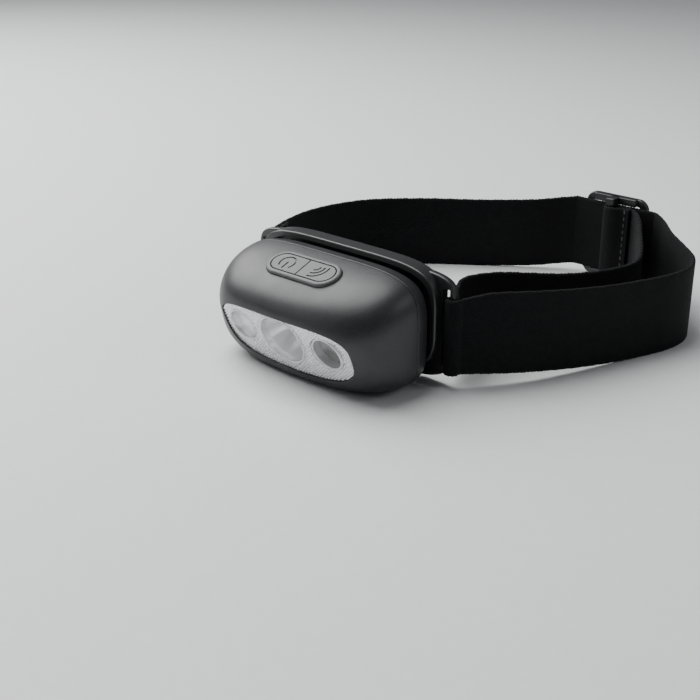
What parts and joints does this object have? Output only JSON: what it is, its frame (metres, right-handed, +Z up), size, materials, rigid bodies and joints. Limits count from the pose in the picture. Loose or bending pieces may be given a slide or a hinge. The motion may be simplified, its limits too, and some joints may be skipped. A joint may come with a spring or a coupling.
{
  "type": "headlamp",
  "caption": "Rechargeable headlamp with a tilting lamp, ribbed lens, top keys, motion sensor window and an elastic strap with a slider.",
  "frame": {"origin": "middle of the flat underside of the lamp, on the surface that it stands on", "axes": "+Y runs back from the lens to the rear of the strap, the longest way; +Z is up, the shortest way; +X is the right-hand side seen from in front of the lens"},
  "size_m": [0.1291, 0.15, 0.0362],
  "materials": {
    "shell": "fine satin texture",
    "lens": "clear, with fine prism ribs",
    "mirror_coat": "vacuum-metallised",
    "inner_plastic": "matte",
    "tinted_window": "smooth smoked",
    "led": "silicone dome over phosphor",
    "ir_clear": "moulded epoxy",
    "ir_dark": "moulded epoxy",
    "circuit_board": "solder mask",
    "switch_metal": "plated",
    "pad_rubber": "matte silicone",
    "cell_foil": "laminated foil",
    "lead_cover": "PVC",
    "plated_steel": "nickel plated",
    "seal_rubber": "matte",
    "bracket_plastic": "satin",
    "webbing": "twill-woven elastic",
    "thread": "polyester thread"
  },
  "bodies": {
    "headband": {"bracket": "bracket_plastic", "hinge_pin": "plated_steel", "strap": "webbing", "strap_tail": "webbing", "loop_stitches": "thread"},
    "lamp": {"front_shell": "shell", "rear_shell": "shell", "lens_cover": "lens", "reflector_plate": "mirror_coat", "main_reflector": "mirror_coat", "side_reflector": "mirror_coat", "sensor_holder": "inner_plastic", "sensor_window": "tinted_window", "main_led": "led", "side_led": "led", "ir_emitter": "ir_clear", "ir_receiver": "ir_dark", "led_board": "circuit_board", "main_board": "circuit_board", "tact_switches": "switch_metal", "button_pad": "pad_rubber", "battery_cell": "cell_foil", "battery_leads": "lead_cover", "charge_board": "circuit_board", "usb_socket": "plated_steel", "case_seal": "seal_rubber", "case_screws": "plated_steel"},
    "power_button": {"power_key": "pad_rubber", "power_plunger": "inner_plastic"},
    "sensor_button": {"sensor_key": "pad_rubber", "sensor_plunger": "inner_plastic"},
    "port_flap": {"usb_flap": "seal_rubber"},
    "strap_slider": {"slider": "bracket_plastic", "strap_end": "webbing", "end_stitches": "thread"}
  },
  "joints": [
    {"name": "lamp_tilt", "type": "hinge", "parent": "headband", "child": "lamp", "pos_m": [0, 0.012, 0.003], "axis": [1, 0, 0], "range_deg": [0, 60]},
    {"name": "power_press", "type": "slide", "parent": "lamp", "child": "power_button", "axis": [0, 0.342, -0.9397], "range_m": [0, 0.0005], "stiffness_N_per_m": 900, "springref_m": -0.0003},
    {"name": "sensor_press", "type": "slide", "parent": "lamp", "child": "sensor_button", "axis": [0, 0.342, -0.9397], "range_m": [0, 0.0005], "stiffness_N_per_m": 900, "springref_m": -0.0003},
    {"name": "flap_open", "type": "hinge", "parent": "lamp", "child": "port_flap", "pos_m": [-0.0344, 0.0078, 0.0104], "axis": [0, -1, 0], "range_deg": [0, 110]},
    {"name": "slider_travel", "type": "slide", "parent": "headband", "child": "strap_slider", "axis": [1, 0, 0], "range_m": [-0.003, 0.003], "deforming": ["strap_tail"]}
  ]
}
